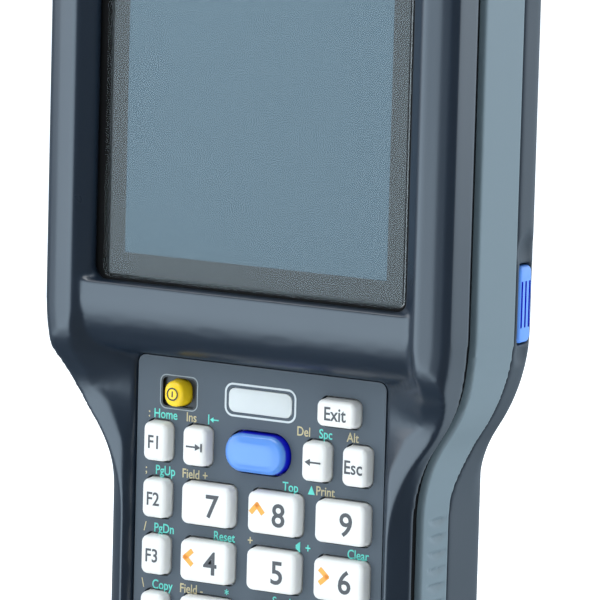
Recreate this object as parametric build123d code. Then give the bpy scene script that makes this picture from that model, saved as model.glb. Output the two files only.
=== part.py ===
from build123d import *
from math import acos, cos, degrees, pi, sin
import os

# Rugged handheld data collector, standing on the flat lower end of its case.
# X runs to the user's right, the display and the keys face -Y, and Z runs up from the base.
# Depths are measured back (+Y) from the crest of the display rim.

# ---- display ----
lcd_width = 53.64
lcd_height = 71.52
lcd_thickness = 3.3
glass_thickness = 1.0
glass_side_border = 3.98
glass_end_border = 4.5
glass_corner = 1.5
mouth_corner = 2.1
mouth_flare = 3.3
mouth_flare_corner = 3.9
flare_start = 0.3
glass_side_gap = 1.25
glass_end_gap = 0.4

# ---- case, seen from the front ----
rim_width = 9.4
crest_offset = 6.0
grip_width = 62.2
grip_rim = 5.3
shoulder_radius = 34.0
waist_radius = 25.0
shoulder_drop = 4.1
top_zone = 34.2
crossbar_height = 13.2
bottom_lip = 14.0
top_corner = 11.0
bottom_corner = 7.0
wall = 2.0

# ---- case, seen from the side ----
case_depth = 34.9
back_step = 2.3
rim_step = 6.0
rim_step_radius = 12.9
rim_step_drop = 10.0
back_step_radius = 22.0
back_step_drop = 2.0
head_round_depth = 3.4
head_round_power = 7
grip_crest_offset = 4.0
grip_round_depth = 4.9
grip_round_power = 3
base_round_share = 0.35
round_shares = (0.0, 0.1, 0.25, 0.5, 0.75, 1.0)
back_round = 3.6
opening_edge_depth = 2.2
glass_depth = 3.7
crossbar_depth = 0.8
crossbar_edge = 2.6
slope_foot = 0.4
# inner slope of the rims: height above the keypad panel's top, then how far the slope stands
# outside the panel's side at the depth of the rim's crest and at the depth of the slope's foot
slope_rows = (
    (-17.5, 6.5, 0.0),
    (-15.5, 8.2, 0.0),
    (-9.5, 24.2, 0.0),
    (-6.9, 34.2, 0.0),
    (-3.5, 19.8, 0.0),
    (-0.5, 13.1, 0.7),
    (2.5, 9.9, 3.7),
)
slope_head_rise = 7.5
head_seam_front = 8.2
grip_seam_front = 9.6
seam_width = 2.6
seam_inset = 1.2
seam_step_radius = 30.0
seam_step_drop = 6.0
head_rear_height = 8.2
grip_rear_height = 13.5
band_step_radius = 18.0
band_step_rise = -1.0
nose_length = 15.0
nose_setback = 3.0

# ---- keypad ----
panel_depth = 7.9
panel_thickness = 1.5
panel_gap = 0.3
panel_corner = 1.8
panel_side_margin = 2.9
panel_bottom_margin = 3.3
status_row_rise = 8.95
panel_top_margin = 6.48
row_pitch = 10.22
row_count = 6
row_gap = 2.92
key_stand = 2.3
key_draft = 0.25
key_clearance = 0.25
key_travel = 0.8
key_flange = 0.7
key_flange_thickness = 0.8
function_key_share = 0.2096
function_gap_share = 0.1485
number_gap_share = 0.1638
scan_gap_share = 0.1659
power_key_share = 0.738
key_corner_share = 0.27
small_key_trim = 0.5
exit_key_width = 7.6
exit_key_height = 4.6
exit_key_inset = 2.6
power_key_width = 3.8
power_key_height = 4.5
power_well_width = 7.6
power_well_height = 5.9
power_well_depth = 0.9
status_lens_width = 13.0
status_lens_height = 4.3
mat_thickness = 0.6
board_thickness = 1.2

# ---- battery, latch and strap bar ----
battery_width = 46.0
battery_thickness = 11.6
battery_bottom = 18.0
battery_rise = 10.14
battery_corner = 3.0
battery_gap = 0.35
battery_shell = 1.2
latch_width = 18.0
latch_height = 6.0
latch_thickness = 2.0
latch_travel = 2.5
strap_bar_radius = 1.5
strap_journal_radius = 1.1
strap_slot_width = 26.0
strap_slot_bottom = 3.0
strap_slot_top = 15.0
strap_slot_depth = 10.4
strap_bar_height = 6.6
strap_bar_setback = 2.6

# ---- side buttons ----
side_button_length = 13.6
side_button_width = 4.4
side_button_depth = 4.0
side_button_travel = 0.8
side_button_gap = 0.3
side_button_lift = 3.7
side_button_setback = 1.6
side_button_stem = 2.9
switch_size = 2.8
scoop_radius = 7.0
scoop_depth = 1.1
scoop_offset = 2.4

# ---- grip ribs on the side band ----
rib_pitch = 2.93
rib_groove = 1.7
rib_groove_depth = 0.85
rib_run = 7.6
rib_first_drop = 34.6
rib_end = 12.0
rib_setback = 0.6

# ---- scanner ----
scan_window_width = 35.0
scan_window_depth = 9.2
scan_window_thickness = 1.5
window_seal_width = 2.2
window_seal_setback = 2.2
engine_width = 22.0
engine_height = 19.0
engine_depth = 12.0

# ---- electronics, connectors and fasteners ----
chassis_thickness = 1.2
board_width = 66.0
speaker_radius = 10.0
speaker_thickness = 4.0
speaker_slot_pitch = 3.0
dock_width = 26.0
dock_depth = 5.6
dock_height = 7.0
dock_contact_count = 12
battery_contact_count = 5
screw_radius = 1.0
screw_head_radius = 2.1
screw_head_height = 1.6
post_radius = 2.6
post_bite = 0.2
lug_depth = 4.0
fit_gap = 0.1

# ---- worked out from the sizes above ----
opening_half = lcd_width / 2 + glass_side_border + glass_side_gap
head_half = opening_half + rim_width
key_height = row_pitch - row_gap
small_key_height = key_height - small_key_trim
grip_half = grip_width / 2
panel_half = grip_half - grip_rim
key_half = panel_half - panel_side_margin
function_key_width = key_half * function_key_share
function_gap = key_half * function_gap_share
number_gap = key_half * number_gap_share
scan_key_gap = key_half * scan_gap_share
power_key_centre = key_half * power_key_share
key_corner = function_key_width * key_corner_share
panel_bottom = bottom_lip
last_row = panel_bottom + panel_bottom_margin + key_height / 2
first_row = last_row + row_pitch * (row_count - 1)
status_row = first_row + status_row_rise
panel_top = status_row + panel_top_margin
opening_bottom = panel_top + crossbar_height
glass_bottom = opening_bottom + glass_end_gap
lcd_bottom = glass_bottom + glass_end_border
lcd_top = lcd_bottom + lcd_height
glass_top = lcd_top + glass_end_border
opening_top = glass_top + glass_end_gap
case_length = opening_top + top_zone
shoulder_z = opening_bottom - shoulder_drop
shoulder_turn = acos(1 - (head_half - grip_half) / (shoulder_radius + waist_radius))
waist_z = shoulder_z - (shoulder_radius + waist_radius) * sin(shoulder_turn)
head_seam_back = head_seam_front + seam_width
grip_seam_back = grip_seam_front + seam_width
seam_step_low = panel_top - seam_step_drop
rim_step_low = panel_top - rim_step_drop
back_step_low = waist_z - back_step_drop
band_step_low = waist_z + band_step_rise
battery_top = waist_z + battery_rise
head_back = case_depth - back_step
head_band_back = head_back - head_rear_height
grip_band_back = case_depth - grip_rear_height
display_inner = glass_depth + 0.25
lcd_depth = glass_depth + glass_thickness + fit_gap
lcd_back = lcd_depth + lcd_thickness
key_face_depth = panel_depth - key_stand
panel_back = panel_depth + panel_thickness
rim_inner = panel_back + fit_gap
flange_front = rim_inner
flange_back = flange_front + key_flange_thickness
mat_depth = flange_back + key_travel + fit_gap
keypad_board_depth = mat_depth + mat_thickness + fit_gap
main_board_depth = grip_seam_back + 0.3
board_face = main_board_depth + board_thickness + 0.02
strap_y = case_depth / 2 - strap_bar_setback - strap_bar_radius
side_button_z = shoulder_z + side_button_lift
side_button_middle = head_band_back + side_button_setback + side_button_width / 2
latch_bottom = battery_top + battery_gap + wall + 1.0
inner_top = case_length - wall
screw_inset = post_radius + wall - post_bite
screw_sites = [
    (head_half - screw_inset, case_length - 11.0),
    (head_half - screw_inset, side_button_z + side_button_length / 2 + 12.0),
    (grip_half - screw_inset, bottom_lip - 5.0),
]


def at(depth):
    # Y of a depth measured back from the crest of the rim
    return depth - case_depth / 2


def outline(head_inset=0.0, grip_inset=None, base_inset=None):
    # front view of the case in the XZ plane, drawn in by its own amount at the head, grip and base
    grip_inset = head_inset if grip_inset is None else grip_inset
    base_inset = grip_inset if base_inset is None else base_inset
    head = head_half - head_inset
    grip = grip_half - grip_inset
    top = case_length - head_inset
    high_corner = top_corner - head_inset
    low_corner = bottom_corner - grip_inset
    shoulder = shoulder_radius - head_inset
    waist = waist_radius + grip_inset
    turn = acos(1 - (head - grip) / (shoulder + waist))
    low_z = shoulder_z - (shoulder + waist) * sin(turn)
    shoulder_centre = head - shoulder
    waist_centre = grip + waist
    diagonal = 1 - sin(pi / 4)
    join = (shoulder_centre + shoulder * cos(turn), shoulder_z - shoulder * sin(turn))
    shoulder_mid = (
        shoulder_centre + shoulder * cos(turn / 2),
        shoulder_z - shoulder * sin(turn / 2),
    )
    waist_mid = (waist_centre - waist * cos(turn / 2), low_z + waist * sin(turn / 2))
    high_mid = (head - high_corner * diagonal, top - high_corner * diagonal)
    low_mid = (grip - low_corner * diagonal, base_inset + low_corner * diagonal)
    side = Curve() + [
        Line((0, top), (head - high_corner, top)),
        ThreePointArc((head - high_corner, top), high_mid, (head, top - high_corner)),
        Line((head, top - high_corner), (head, shoulder_z)),
        ThreePointArc((head, shoulder_z), shoulder_mid, join),
        ThreePointArc(join, waist_mid, (grip, low_z)),
        Line((grip, low_z), (grip, base_inset + low_corner)),
        ThreePointArc((grip, base_inset + low_corner), low_mid, (grip - low_corner, base_inset)),
        Line((grip - low_corner, base_inset), (0, base_inset)),
    ]
    return Plane.XZ * make_face(side + mirror(side, Plane.YZ))


def rim_inset(depth, start, reach, width, power):
    # how far the rim's outer edge is drawn in at a depth, from width at its crest to nothing
    along = min(1.0, max(0.0, (depth - start) / reach))
    return width * (1 - along) ** power


def back_inset(depth, back):
    # how far the rear edge is drawn in at a depth by its round
    rise = min(1.0, max(0.0, 1 - (back - depth) / back_round))
    return back_round * (1 - (1 - rise * rise) ** 0.5)


def stacked(stations):
    # solid through outlines at stated depths, each with its own insets
    sections = [
        Pos(0, at(depth), 0) * outline(head_inset, grip_inset, base_inset)
        for depth, head_inset, grip_inset, base_inset in stations
    ]
    return loft(sections, ruled=True)


def slab(face, front, back):
    # solid of a front-view face between two depths
    return extrude(Pos(0, at(front), 0) * face, amount=back - front, dir=(0, 1, 0))


def block(width, front, back, low, high, centre_x=0.0):
    # box by its width, its two depths and its two heights
    centre = Pos(centre_x, at((front + back) / 2), (low + high) / 2)
    return centre * Box(width, back - front, high - low)


def rounded(width, height, radius, centre_x, centre_z):
    # rounded rectangle in the front view
    return Plane.XZ * Pos(centre_x, centre_z) * RectangleRounded(width, height, radius)


def step_points(high_depth, low_depth, low_z, radius):
    # two equal tangent arcs that carry one depth over to another, from low_z upwards
    turn = acos(1 - abs(high_depth - low_depth) / (2 * radius))
    sign = 1 if high_depth > low_depth else -1
    rise = radius * sin(turn)
    quarter = radius * sin(turn / 2)
    bulge = sign * radius * (1 - cos(turn / 2))
    middle = (high_depth + low_depth) / 2
    return [
        (at(low_depth), low_z),
        (at(low_depth + bulge), low_z + quarter),
        (at(middle), low_z + rise),
        (at(high_depth - bulge), low_z + 2 * rise - quarter),
        (at(high_depth), low_z + 2 * rise),
    ]


def side_mass(high_depth, low_depth, low_z, radius, far_depth):
    # everything between a stepped side profile and far_depth, as wide as any case
    low, bend, middle, turn_out, high = step_points(high_depth, low_depth, low_z, radius)
    base = (low[0], -20.0)
    top = (high[0], case_length + 20.0)
    profile = Curve() + [
        Line(base, low),
        ThreePointArc(low, bend, middle),
        ThreePointArc(middle, turn_out, high),
        Line(high, top),
        Line(top, (at(far_depth), top[1])),
        Line((at(far_depth), top[1]), (at(far_depth), base[1])),
        Line((at(far_depth), base[1]), base),
    ]
    face = Plane.YZ * make_face(profile)
    return extrude(face, amount=2 * head_half, both=True)


def behind_front(offset=0.0):
    # space behind the front surface, which steps back from the head to the grip
    return side_mass(offset, rim_step + offset, rim_step_low, rim_step_radius, 60.0)


def before_seam(offset=0.0):
    # space in front of the front cover's rear edge
    return side_mass(
        head_seam_front + offset, grip_seam_front + offset, seam_step_low, seam_step_radius, -20.0
    )


def behind_seam(offset=0.0):
    # space behind the side band's front edge
    return side_mass(
        head_seam_back + offset, grip_seam_back + offset, seam_step_low, seam_step_radius, 60.0
    )


def before_back(offset=0.0):
    # space in front of the rear surface, which steps out from the head to the grip
    return side_mass(head_back - offset, case_depth - offset, back_step_low, back_step_radius, -20.0)


def before_band_back(offset=0.0):
    # space in front of the line where the side band meets the rear cover
    return side_mass(
        head_band_back - offset, grip_band_back - offset, band_step_low, band_step_radius, -20.0
    )


def nose_cut():
    # wedge that slopes the front of the head back towards the top end
    wedge = Plane.YZ * Polygon(
        (at(0) - 1, case_length - nose_length),
        (at(0), case_length - nose_length),
        (at(nose_setback), case_length + 0.01),
        (at(0) - 1, case_length + 0.01),
        align=None,
    )
    return extrude(wedge, amount=2 * head_half, both=True)


def front_shape():
    # outer form of the front cover before it is opened and hollowed
    depths = [head_round_depth * share for share in round_shares]
    depths += [rim_step + grip_round_depth * share for share in round_shares]
    stations = []
    for depth in depths:
        head_inset = rim_inset(depth, 0, head_round_depth, crest_offset, head_round_power)
        grip_inset = rim_inset(depth, rim_step, grip_round_depth, grip_crest_offset, grip_round_power)
        stations.append((depth, head_inset, grip_inset, grip_inset * base_round_share))
    return (stacked(stations) & behind_front() & before_seam()) - nose_cut()


def display_mouth():
    # opening over the glass, with sides that slope in from the crest of the rim
    middle = (opening_bottom + opening_top) / 2
    width = 2 * opening_half
    height = opening_top - opening_bottom
    grown = 2 * mouth_flare
    edge = rounded(width, height, mouth_corner, 0, middle)
    wide_middle = middle + mouth_flare / 2
    wide = rounded(width + grown, height + mouth_flare, mouth_flare_corner, 0, wide_middle)
    funnel = loft([Pos(0, at(opening_edge_depth), 0) * edge, Pos(0, at(-flare_start), 0) * wide])
    return funnel + slab(edge, opening_edge_depth - 0.01, display_inner + 1)


def panel_face(shrink=0.0):
    # front view of the keypad panel
    height = panel_top - panel_bottom
    middle = (panel_top + panel_bottom) / 2
    return rounded(
        2 * (panel_half - shrink), height - 2 * shrink, panel_corner - shrink, 0, middle
    )


def crossbar_room():
    # space in front of the crossbar's rolled face, of the keypad below it and of the glass above it
    foot = at(panel_depth - slope_foot)
    face = at(crossbar_depth)
    glass_edge = at(opening_edge_depth)
    flat_high = opening_bottom - crossbar_edge
    above = opening_bottom + mouth_flare_corner + 1.0
    roll = EllipticalCenterArc(
        (foot, flat_high), foot - face, flat_high - panel_top, start_angle=180, arc_size=90
    )
    profile = Curve() + [
        roll,
        Line((foot, panel_top), (foot, panel_bottom)),
        Line((foot, panel_bottom), (at(-1), panel_bottom)),
        Line((at(-1), panel_bottom), (at(-1), above)),
        Line((at(-1), above), (glass_edge, above)),
        Line((glass_edge, above), (glass_edge, opening_bottom)),
        Line((glass_edge, opening_bottom), (face, opening_bottom)),
        Line((face, opening_bottom), (face, flat_high)),
    ]
    return extrude(Plane.YZ * make_face(profile), amount=2 * head_half, both=True)


def slope_section(depth):
    # front view of the space between the rims' inner slopes at a depth
    foot = panel_depth - slope_foot
    share = depth / foot
    sides = []
    for rise, crest_reach, foot_reach in slope_rows:
        reach = crest_reach + (foot_reach - crest_reach) * share
        sides.append((panel_half + reach, panel_top + rise))
    sides.insert(0, (sides[0][0], panel_bottom))
    lean = mouth_flare / (opening_edge_depth + flare_start)
    head_reach = opening_half + lean * (opening_edge_depth - depth)
    sides.append((head_reach, panel_top + slope_head_rise))
    sides.append((head_reach, opening_bottom + mouth_flare_corner + 1.5))
    ring = sides + [(-x, z) for x, z in reversed(sides)]
    return Pos(0, at(depth), 0) * (Plane.XZ * Polygon(*ring, align=None))


def keypad_slope():
    # hollow over the keypad, from the crossbar's roll down between the rims' inner slopes
    foot = panel_depth - slope_foot
    between = loft([slope_section(-0.5), slope_section(foot + 0.1)], ruled=True)
    return between & crossbar_room()


def make_front_cover():
    cover = front_shape() - display_mouth()
    cover -= keypad_slope()
    cover -= slab(panel_face(), -2, case_depth)
    inner = outline(wall)
    high_room = block(4 * head_half, display_inner, case_depth, opening_bottom - 6.0, inner_top)
    cover -= slab(inner, display_inner, case_depth) & high_room
    cover -= slab(inner, rim_inner, case_depth)
    near_wall = slab(outline(wall / 2), -2, case_depth) & before_seam()
    for x, z in both_sides(screw_sites):
        front = display_inner - 0.01 if z > opening_bottom else rim_inner - 0.01
        cover += slab(rounded_disc(x, z, post_radius), front, case_depth) & near_wall
    for x, z in both_sides(screw_sites):
        cover -= slab(rounded_disc(x, z, screw_radius + 0.05), pilot_depth(z), case_depth)
    cover -= slab(rounded_disc(0, bottom_lip / 2, 0.6), rim_step - 2, case_depth)
    return cover


def pilot_depth(z):
    # depth that the pilot hole for a case screw starts at
    return display_inner + 1.0 if z > opening_bottom else panel_depth + 0.6


def both_sides(sites):
    return [(side * x, z) for x, z in sites for side in (-1, 1)]


def rounded_disc(x, z, radius):
    return Plane.XZ * Pos(x, z) * Circle(radius)


def make_case_seal():
    # rubber cord in the groove between the front cover and the side band
    ring = slab(outline(seam_inset), 0, case_depth) - slab(outline(wall), 0, case_depth)
    behind_cover = slab(outline(), 0, case_depth) - before_seam(0.02)
    return (ring & behind_cover) - behind_seam(-0.02)


def rib_grooves():
    # tapered finger grooves across the band, sharp at the top and fading out at the bottom
    reach = ((rib_run / 2) ** 2 + rib_groove_depth ** 2) / (2 * rib_groove_depth)
    cutter = Cone(reach - rib_groove_depth, reach, rib_groove)
    middle = (grip_seam_back + grip_band_back) / 2 + rib_setback
    first = shoulder_z - rib_first_drop
    count = int((first - rib_end) / rib_pitch) + 1
    grooves = []
    for row in range(count):
        z = first - row * rib_pitch
        for side in (-1, 1):
            place = Pos(side * (grip_half + reach - rib_groove_depth), at(middle), z)
            grooves.append(place * cutter)
    return grooves


def scan_mouth(grow=0.0, low=None):
    # hole through the top end that takes the scanner's window and its seal
    width = scan_window_width + 2 * window_seal_width + 2 * grow
    depth = scan_window_depth + 2 * window_seal_width + 2 * grow
    centre = Pos(0, at(grip_seam_back + window_seal_setback + depth / 2 - grow), 0)
    face = centre * RectangleRounded(width, depth, 2.6 + grow)
    start = case_length - 6.0 if low is None else low
    return extrude(Pos(0, 0, start) * face, amount=case_length + 1 - start, dir=(0, 0, 1))


def dock_slot(grow=0.0):
    # slot in the base for the docking connector
    middle = (grip_seam_back + grip_band_back) / 2
    return block(
        dock_width + 2 * grow,
        middle - dock_depth / 2 - grow,
        middle + dock_depth / 2 + grow,
        -1.0 if grow else 0.4,
        wall + 2.0 if grow else dock_height,
    )


def make_mid_frame():
    # light ring of the case between the front and rear covers, ribbed at the grip
    ring = slab(outline(), 0, case_depth) & behind_seam() & before_band_back()
    ring -= slab(outline(wall), 0, 60.0)
    for groove in rib_grooves():
        ring -= groove
    for x, z in both_sides(screw_sites):
        side = 1 if x > 0 else -1
        lug_front = head_seam_back if z > waist_z else grip_seam_back
        lug_back = lug_front + lug_depth
        web_x = x + side * screw_inset / 2
        lug = slab(rounded_disc(x, z, post_radius), lug_front, lug_back)
        lug += block(screw_inset, lug_front, lug_back, z - 1.0, z + 1.0, web_x)
        ring += lug & slab(outline(wall / 2), 0, 60.0)
    for x, z in both_sides(screw_sites):
        ring -= slab(rounded_disc(x, z, screw_radius + 0.05), 0, 60.0)
    ring -= dock_slot(fit_gap)
    return ring - scan_mouth(fit_gap)


def battery_space(grow=0.0):
    # battery pack's envelope, cut off by the rear surface of the case
    middle = (battery_top + battery_bottom) / 2
    height = battery_top - battery_bottom + 2 * grow
    face = rounded(battery_width + 2 * grow, height, battery_corner + grow, 0, middle)
    return slab(face, case_depth - battery_thickness - grow, case_depth + (5 if grow else 0))


def strap_slot():
    return block(
        strap_slot_width,
        case_depth - strap_slot_depth,
        case_depth + 2,
        strap_slot_bottom,
        strap_slot_top,
    )


def latch_pocket():
    return block(
        latch_width + 2 * side_button_gap,
        head_back - latch_thickness - side_button_gap,
        head_back + 5,
        latch_bottom - side_button_gap,
        latch_bottom + latch_height + latch_travel + side_button_gap,
    )


def side_button_space(side, grow=0.0):
    # envelope of one side button, set just behind the band
    front = head_band_back + side_button_setback - grow
    back = front + side_button_width + 2 * grow
    outer = head_half + (3 if grow else -0.25)
    inner = head_half - side_button_depth - (side_button_travel + grow if grow else 0)
    low = side_button_z - side_button_length / 2 - grow
    high = side_button_z + side_button_length / 2 + grow
    return block(outer - inner, front, back, low, high, side * (outer + inner) / 2)


def rear_shape():
    # outer form of the rear cover before it is opened and hollowed
    lifts = [back_round * share for share in round_shares]
    depths = [0.0] + [head_back - back_round + lift for lift in lifts]
    depths += [case_depth - back_round + lift for lift in lifts]
    stations = []
    for depth in sorted(depths):
        grip_inset = back_inset(depth, case_depth)
        stations.append((depth, back_inset(depth, head_back), grip_inset, grip_inset))
    return (stacked(stations) - before_band_back(-0.02)) & before_back()


def make_rear_cover():
    shape = rear_shape()
    room = slab(outline(wall), 0, case_depth) & before_back(wall)
    kept = battery_space(battery_gap + battery_shell) + block(
        strap_slot_width + 2 * wall,
        case_depth - strap_slot_depth - wall,
        case_depth + 2,
        -1.0,
        strap_slot_top + wall,
    )
    kept += block(
        latch_width + 2 * wall,
        head_back - latch_thickness - 2 * wall,
        head_back + 5,
        latch_bottom - wall,
        latch_bottom + latch_height + latch_travel + wall,
    )
    for side in (-1, 1):
        kept += side_button_space(side, side_button_gap + 1.2)
    for x, z in both_sides(screw_sites):
        kept += slab(rounded_disc(x, z, screw_head_radius + 1.2), 0, case_depth + 5)
    shape -= room - kept
    shape -= battery_space(battery_gap)
    shape -= strap_slot()
    shape -= latch_pocket()
    for side in (-1, 1):
        shape -= side_button_space(side, side_button_gap)
        shape -= side_button_hole(side)
        for scoop in side_scoops(side):
            shape -= scoop
    for x, z in both_sides(screw_sites):
        shape -= slab(rounded_disc(x, z, screw_radius + 0.1), 0, case_depth + 5)
        seat = screw_seat(z)
        shape -= slab(rounded_disc(x, z, screw_head_radius + 0.2), seat, case_depth + 5)
    for z in speaker_slots():
        shape -= block(speaker_slot_run(z), head_back - wall - 1, head_back + 1, z - 0.6, z + 0.6)
    hole = Pos(0, strap_y, strap_bar_height) * Rot(0, 90, 0)
    shape -= hole * Cylinder(strap_journal_radius + 0.03, strap_slot_width + 2 * wall - 1.0)
    return shape - scan_mouth(fit_gap)


def side_scoops(side):
    # shallow dishes above and below a side button, where a fingertip finds it
    reach = side_button_length / 2 + scoop_offset
    x = side * (head_half + scoop_radius - scoop_depth)
    ball = Sphere(scoop_radius)
    return [Pos(x, at(side_button_middle), side_button_z + sign * reach) * ball for sign in (-1, 1)]


def screw_seat(z):
    # depth of the face that a screw's head bears on
    back = head_back if z > waist_z else case_depth
    return back - wall - screw_head_height


def side_button_hole(side):
    # hole that the button's stem passes through on its way to its switch
    front = side_button_middle - 1.3
    back = side_button_middle + 1.3
    x = side * (head_half - side_button_depth - 3.0)
    return block(8.0, front, back, side_button_z - 1.3, side_button_z + 1.3, x)


def speaker_slots():
    middle = (lcd_bottom + lcd_top) / 2
    return [middle + step * speaker_slot_pitch for step in range(-2, 3)]


def speaker_slot_run(z):
    middle = (lcd_bottom + lcd_top) / 2
    return 2 * (speaker_radius ** 2 - (z - middle) ** 2) ** 0.5


def make_side_button(side):
    button = side_button_space(side)
    inner = head_half - side_button_depth + 0.1
    length = side_button_stem + 0.1
    front = side_button_middle - 0.9
    back = side_button_middle + 0.9
    x = side * (inner - length / 2)
    return button + block(length, front, back, side_button_z - 0.9, side_button_z + 0.9, x)


def make_side_switches():
    # tactile switches that the side buttons' stems press
    switches = []
    reach = head_half - side_button_depth - side_button_stem - side_button_travel - fit_gap
    for side in (-1, 1):
        half = switch_size / 2
        front = side_button_middle - half
        back = side_button_middle + half
        x = side * (reach - 1.2)
        switches.append(block(2.4, front, back, side_button_z - half, side_button_z + half, x))
    return Compound(children=switches)


def make_display_glass():
    width = lcd_width + 2 * glass_side_border
    face = rounded(width, glass_top - glass_bottom, glass_corner, 0, (glass_top + glass_bottom) / 2)
    return slab(face, glass_depth, glass_depth + glass_thickness)


def make_display_gasket():
    # rubber frame that fills the gap round the glass and seals it to the front cover
    middle = (glass_top + glass_bottom) / 2
    width = lcd_width + 2 * glass_side_border + 2 * 0.05
    height = glass_top - glass_bottom + 2 * 0.05
    hole = rounded(width, height, glass_corner, 0, middle)
    outer = rounded(width + 6.0, height + 5.0, glass_corner + 1, 0, middle)
    front = display_inner + 0.02
    return slab(outer, front, lcd_depth + 0.8) - slab(hole, front - 1, lcd_depth + 2)


def make_lcd_module():
    middle = (lcd_top + lcd_bottom) / 2
    width = lcd_width + 6.4
    height = lcd_height + 8.0
    return block(width, lcd_depth, lcd_back, middle - height / 2, middle + height / 2)


def make_inner_chassis():
    # cast tray that carries the display and the boards inside the head
    low = opening_bottom - 4.0
    high = case_length - 20.0
    width = 2 * (head_half - wall) - 4.0
    tray = block(width, lcd_back + fit_gap, lcd_back + fit_gap + chassis_thickness, low, high)
    for z in (lcd_bottom + lcd_height * 0.28, lcd_bottom + lcd_height * 0.72):
        tray -= block(width * 0.34, 0, 40, z - 12.0, z + 12.0, 0)
    for x, z in both_sides(screw_sites):
        tray -= slab(rounded_disc(x, z, post_radius + 0.4), 0, 40)
    return tray


def make_main_board():
    low = opening_bottom + 2.0
    high = case_length - 30.0
    front = main_board_depth
    board = block(board_width, front, front + board_thickness, low, high)
    for x, z in both_sides(screw_sites):
        board -= slab(rounded_disc(x, z, post_radius + 1.6), 0, 40)
    return board


def make_shield_can():
    # pressed cover over the radio and processor
    middle = lcd_bottom + lcd_height * 0.3
    return block(40.0, board_face, board_face + 2.4, middle - 14.0, middle + 14.0)


def make_backup_battery():
    return slab(rounded_disc(-22.0, case_length - 46.0, 6.0), board_face, board_face + 2.1)


def make_antenna_board():
    low = case_length - 27.0
    return block(board_width * 0.62, main_board_depth, main_board_depth + 0.8, low, low + 17.0)


def make_scan_engine():
    front = grip_seam_back + window_seal_setback + window_seal_width - 0.6
    high = case_length - 6.6
    body = block(engine_width, front, front + engine_depth, high - engine_height, high)
    lens = Pos(0, at(front + engine_depth / 2), high) * Cylinder(3.2, 2.4)
    return body - lens


def make_scan_window():
    inner = scan_mouth(-window_seal_width - 0.05, case_length - 3.4)
    return inner & block(90, 0, 60, case_length - 3.4, case_length - 3.4 + scan_window_thickness)


def make_window_seal():
    outer = scan_mouth(0.0, case_length - 5.2) & block(90, 0, 60, 0, case_length - 0.4)
    return outer - scan_mouth(-window_seal_width, case_length - 8.0)


def make_speaker():
    back = head_back - wall - 0.1
    middle = (lcd_bottom + lcd_top) / 2
    cone = slab(rounded_disc(0, middle, speaker_radius), back - speaker_thickness, back)
    return cone - slab(rounded_disc(0, middle, speaker_radius - 1.6), back - 0.8, back + 1)


def make_microphone():
    front = rim_inner + 0.1
    return slab(rounded_disc(0, bottom_lip / 2, 2.0), front, front + 1.4)


def make_dock_connector():
    body = dock_slot()
    for x in dock_contact_places():
        body -= dock_contact(x, 0.03)
    return body


def dock_contact_places():
    pitch = (dock_width - 4.0) / (dock_contact_count - 1)
    return [(index - (dock_contact_count - 1) / 2) * pitch for index in range(dock_contact_count)]


def dock_contact(x, grow=0.0):
    middle = (grip_seam_back + grip_band_back) / 2
    return block(1.0 + 2 * grow, middle - 1.6 - grow, middle + 1.6 + grow, 0.3 - 3 * grow,
                 2.4 + grow, x)


def make_dock_contacts():
    return Compound(children=[dock_contact(x) for x in dock_contact_places()])


def make_keypad_panel():
    # grey plate round the keys, held by a flange behind the rim
    plate = slab(panel_face(panel_gap), panel_depth, panel_back)
    for name, x, z, width, height in key_places():
        grow = 2 * (key_draft + key_clearance)
        hole = rounded(width + grow, height + grow, key_round(width, height) + 0.3, x, z)
        plate -= slab(hole, panel_depth - 1, panel_back + 1)
    well = rounded(power_well_width, power_well_height, 1.2, -power_key_centre, status_row)
    plate -= slab(well, panel_depth - 1, panel_depth + power_well_depth)
    lens = rounded(status_lens_width, status_lens_height, 1.3, 0, status_row)
    plate -= slab(offset(lens, 0.06), panel_depth - 1, panel_back + 1)
    return plate


def make_status_lens():
    lens = rounded(status_lens_width, status_lens_height, 1.3, 0, status_row)
    return slab(lens, panel_depth - 0.15, panel_back)


def key_round(width, height):
    # corner radius of a key, and the full half circle on the long scan key
    if width > 1.5 * small_key_height and height < key_height:
        return height / 2 - 0.01
    return key_corner


def key_places():
    # name, centre x, centre z, face width and face height of every key
    left = -key_half
    first_column = left + function_key_width + function_gap
    number_width = (key_half - first_column - 2 * number_gap) / 3
    columns = [
        first_column + number_width / 2 + column * (number_width + number_gap) for column in range(3)
    ]
    function_x = left + function_key_width / 2
    tab_x = first_column + function_key_width / 2
    scan_width = 2 * (-first_column - function_key_width - scan_key_gap)
    exit_x = key_half - exit_key_inset - exit_key_width / 2
    row = [first_row - row_pitch * index for index in range(row_count)]
    keys = [
        ("power_key", -power_key_centre, status_row, power_key_width, power_key_height),
        ("exit_key", exit_x, status_row, exit_key_width, exit_key_height),
        ("f1_key", function_x, row[0], function_key_width, small_key_height),
        ("tab_key", tab_x, row[0], function_key_width, small_key_height),
        ("scan_key", 0.0, row[0], scan_width, small_key_height),
        ("backspace_key", -tab_x, row[0], function_key_width, small_key_height),
        ("escape_key", -function_x, row[0], function_key_width, small_key_height),
    ]
    names = [
        ("f2_key", "seven_key", "eight_key", "nine_key"),
        ("f3_key", "four_key", "five_key", "six_key"),
        ("f4_key", "one_key", "two_key", "three_key"),
        ("f5_key", "minus_key", "zero_key", "point_key"),
        ("amber_key", "aqua_key", "shift_key", "enter_key"),
    ]
    for index, line in enumerate(names):
        z = row[index + 1]
        keys.append((line[0], function_x, z, function_key_width, small_key_height))
        for name, x in zip(line[1:], columns):
            keys.append((name, x, z, number_width, key_height))
    return keys


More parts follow.
